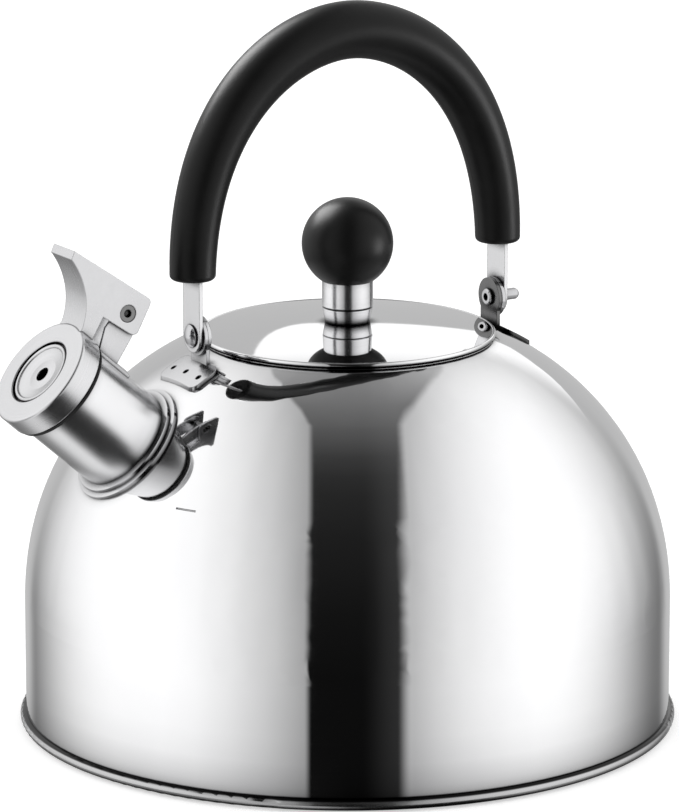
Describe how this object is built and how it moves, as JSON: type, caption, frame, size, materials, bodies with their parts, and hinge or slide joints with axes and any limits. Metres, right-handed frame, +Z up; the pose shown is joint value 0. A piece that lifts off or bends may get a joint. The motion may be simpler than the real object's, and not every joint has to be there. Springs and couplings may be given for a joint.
{
  "type": "stovetop whistling kettle",
  "caption": "Domed polished steel stovetop kettle with folding arched handle, ball-knob lift-off lid and a hinged whistling spout cap with finger lever.",
  "frame": {"origin": "centre of the flat base, on the plane the kettle stands on", "axes": "+Z up, the spout points to -X, the handle folds about a line along X"},
  "size_m": [0.2203, 0.2036, 0.2248],
  "materials": {
    "polished_steel": "mirror polished",
    "satin_steel": "satin",
    "aluminium": "plain",
    "silicone": "matte",
    "soft_black": "soft matte",
    "brass": "turned"
  },
  "bodies": {
    "kettle": {"body_shell": "polished_steel", "base_pan": "polished_steel", "heat_spreader": "aluminium", "base_cap": "satin_steel", "spout_tube": "satin_steel", "spout_collar": "polished_steel", "spout_seal": "silicone", "lever_bracket": "satin_steel", "lever_pin": "polished_steel", "front_bracket": "satin_steel", "rear_bracket": "satin_steel", "front_washer": "polished_steel", "rear_washer": "polished_steel", "front_rivet": "polished_steel", "rear_rivet": "polished_steel"},
    "handle": {"handle_strap": "satin_steel", "handle_grip": "soft_black"},
    "lid": {"lid_disc": "polished_steel", "lid_skirt": "polished_steel", "knob_ferrule": "satin_steel", "knob_ball": "soft_black", "knob_insert": "brass", "knob_washer": "satin_steel", "knob_screw": "satin_steel"},
    "whistle_cap": {"cap_shell": "satin_steel", "cap_liner": "silicone", "whistle_front_disc": "satin_steel", "whistle_rear_disc": "satin_steel", "cap_lever": "satin_steel"}
  },
  "joints": [
    {"name": "handle_fold", "type": "hinge", "parent": "kettle", "child": "handle", "pos_m": [0, 0, 0.1273], "axis": [1, 0, 0], "range_deg": [-100, 100]},
    {"name": "lid_lift", "type": "slide", "parent": "kettle", "child": "lid", "axis": [0, 0, 1], "range_m": [0, 0.02]},
    {"name": "whistle_open", "type": "hinge", "parent": "kettle", "child": "whistle_cap", "pos_m": [-0.08019, 0, 0.13834], "axis": [0, 1, 0], "range_deg": [0, 60]}
  ]
}
